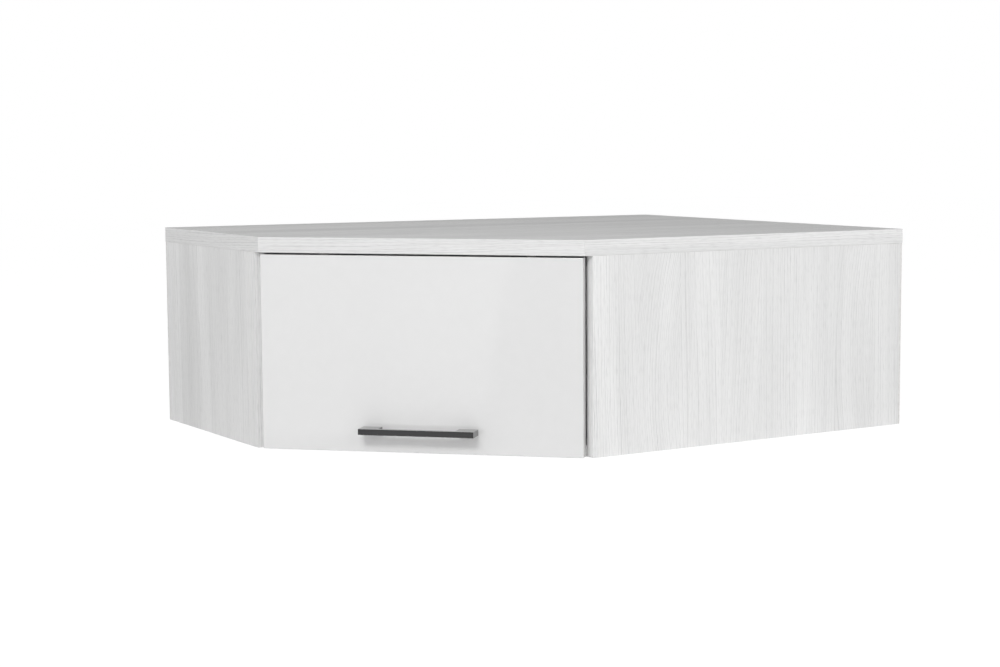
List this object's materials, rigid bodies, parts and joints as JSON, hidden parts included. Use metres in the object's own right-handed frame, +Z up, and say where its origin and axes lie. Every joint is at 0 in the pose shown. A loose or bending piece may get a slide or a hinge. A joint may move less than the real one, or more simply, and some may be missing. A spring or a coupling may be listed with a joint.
{
  "type": "diagonal corner wall cabinet with lift-up flap",
  "caption": "Diagonal-front corner wall cabinet: pale wood-grain carcass, thicker top board, high-gloss white top-hinged flap on cup hinges with a gas strut, dark bar handle.",
  "frame": {"origin": "middle of the bounding box at the underside, where the sides and bottom board stand", "axes": "+Z up; +Y along the longer wall towards the room's corner; +X along the shorter wall away from the room's corner; the diagonal flap faces +X and -Y"},
  "size_m": [0.68, 0.91, 0.3],
  "materials": {
    "laminate": "embossed pale wood-grain laminate on particle board",
    "edge_band": "pale wood-grain edging",
    "gloss_front": "high-gloss white lacquer on fibreboard",
    "hardboard": "white-faced hardboard",
    "beech": "raw beech",
    "zinc_steel": "zinc plated",
    "nickel_steel": "nickel plated",
    "dark_metal": "satin dark grey",
    "strut_paint": "satin grey paint",
    "chrome_rod": "hard chrome",
    "black_plastic": "moulded",
    "clear_rubber": "soft translucent"
  },
  "bodies": {
    "carcass": {"top_panel": "laminate", "left_side": "laminate", "right_side": "laminate", "bottom_panel": "laminate", "wall_rail_left": "laminate", "wall_rail_right": "laminate", "corner_stile": "laminate", "top_band_left": "edge_band", "top_band_front": "edge_band", "top_band_right": "edge_band", "left_side_band": "edge_band", "right_side_band": "edge_band", "bottom_edge_band": "edge_band", "back_left": "hardboard", "back_right": "hardboard", "dowels": "beech", "cams": "zinc_steel", "cam_bolts": "zinc_steel", "back_pins": "zinc_steel", "hinge_plate_screws": "zinc_steel", "hinge_arm_screws": "zinc_steel", "top_bracket_screws": "zinc_steel", "strut_rear_pin": "zinc_steel", "strut_top_bracket": "zinc_steel", "hinge_arms": "nickel_steel", "hinge_plates": "nickel_steel", "flap_buffers": "clear_rubber"},
    "flap": {"flap_panel": "gloss_front", "handle": "dark_metal", "handle_screws": "zinc_steel", "hinge_cups": "nickel_steel", "hinge_pins": "zinc_steel", "hinge_cup_screws": "zinc_steel", "strut_flap_bracket": "zinc_steel", "flap_bracket_screws": "zinc_steel"},
    "strut_barrel": {"strut_rear_eye": "black_plastic", "strut_tube": "strut_paint", "strut_gland": "black_plastic"},
    "strut_rod_body": {"strut_rod": "chrome_rod", "strut_piston": "black_plastic", "strut_rod_eye": "black_plastic", "strut_front_pin": "zinc_steel"}
  },
  "joints": [
    {"name": "flap_hinge", "type": "hinge", "parent": "carcass", "child": "flap", "pos_m": [0.16906, -0.28406, 0.2625], "axis": [-0.7071, -0.7071, 0], "range_deg": [0, 90]},
    {"name": "strut_swing", "type": "hinge", "parent": "carcass", "child": "strut_barrel", "pos_m": [-0.09281, -0.31259, 0.2325], "axis": [-0.7071, -0.7071, 0], "range_deg": [0, 6.1]},
    {"name": "strut_extend", "type": "slide", "parent": "strut_barrel", "child": "strut_rod_body", "axis": [0.706, -0.706, -0.0551], "range_m": [0, 0.0585]}
  ],
  "couplings": [
    {"joint": "strut_swing", "follows": "flap_hinge", "ratio": 0.066424},
    {"joint": "strut_extend", "follows": "flap_hinge", "m_per_rad": 0.03694}
  ]
}
